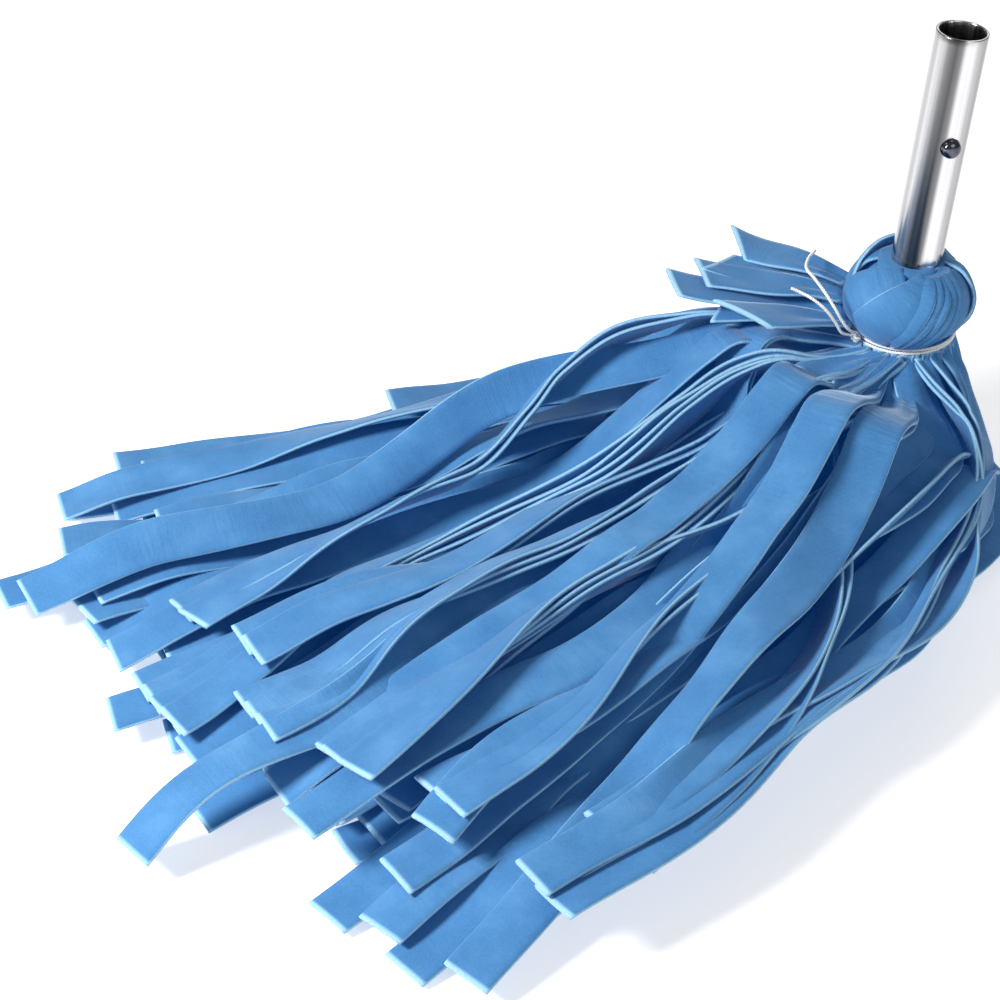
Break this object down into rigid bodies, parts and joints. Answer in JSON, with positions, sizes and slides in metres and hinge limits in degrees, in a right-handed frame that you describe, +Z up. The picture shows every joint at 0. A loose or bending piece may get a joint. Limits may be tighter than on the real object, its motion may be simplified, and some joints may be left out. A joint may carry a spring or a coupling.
{
  "type": "strip mop head",
  "caption": "Strip mop head: a short metal socket tube with a sprung snap button, and a skirt of flat cloth strips bound round its foot and swept out over the floor.",
  "frame": {"origin": "middle of the bounding box's base, on the floor the skirt lies on", "axes": "+Z up; the skirt sweeps towards -X and -Y from the knot; the tube stands at the +X and +Y side and leans 4.5 degrees towards +X"},
  "size_m": [0.5154, 0.4472, 0.2555],
  "materials": {
    "cloth": "matte nonwoven felt",
    "tube_metal": "polished",
    "button_steel": "dark polished",
    "spring_steel": "blued",
    "twine": "twisted white twine"
  },
  "bodies": {
    "skirt": {"skirt_strip_01": "cloth", "skirt_strip_02": "cloth", "skirt_strip_03": "cloth", "skirt_strip_04": "cloth", "skirt_strip_05": "cloth", "skirt_strip_06": "cloth", "skirt_strip_07": "cloth", "skirt_strip_08": "cloth", "skirt_strip_09": "cloth", "skirt_strip_10": "cloth", "skirt_strip_11": "cloth", "skirt_strip_12": "cloth", "skirt_strip_13": "cloth", "skirt_strip_14": "cloth", "skirt_strip_15": "cloth", "skirt_strip_16": "cloth", "skirt_strip_17": "cloth", "skirt_strip_18": "cloth", "skirt_strip_19": "cloth", "skirt_strip_20": "cloth", "skirt_strip_21": "cloth", "skirt_strip_22": "cloth", "skirt_strip_23": "cloth", "skirt_strip_24": "cloth", "skirt_strip_25": "cloth", "skirt_strip_26": "cloth", "skirt_strip_27": "cloth", "skirt_strip_28": "cloth", "skirt_strip_29": "cloth", "skirt_strip_30": "cloth", "skirt_strip_31": "cloth", "skirt_strip_32": "cloth", "skirt_strip_33": "cloth", "skirt_strip_34": "cloth", "skirt_strip_35": "cloth"},
    "head": {"socket_tube": "tube_metal", "leaf_spring": "spring_steel", "inner_twine_binding": "twine", "folded_bundle": "cloth", "knot_wrap_back": "cloth", "knot_wrap_left": "cloth", "knot_wrap_front": "cloth", "knot_wrap_right": "cloth", "short_end_1": "cloth", "short_end_2": "cloth", "short_end_3": "cloth", "short_end_4": "cloth", "short_end_5": "cloth", "twine_tie": "twine", "twine_knot": "twine", "twine_tail_1": "twine", "twine_tail_2": "twine"},
    "button": {"snap_button": "button_steel"}
  },
  "joints": [
    {"name": "head_tilt", "type": "hinge", "parent": "skirt", "child": "head", "pos_m": [0.19208, 0.14663, 0.06601], "axis": [-0.4695, 0.8829, 0], "range_deg": [-3, 30]},
    {"name": "button_press", "type": "slide", "parent": "head", "child": "button", "axis": [-0.2073, 0.9781, 0.0163], "range_m": [0, 0.0048], "stiffness_N_per_m": 1200, "springref_m": -0.002, "deforming": ["leaf_spring"]}
  ]
}
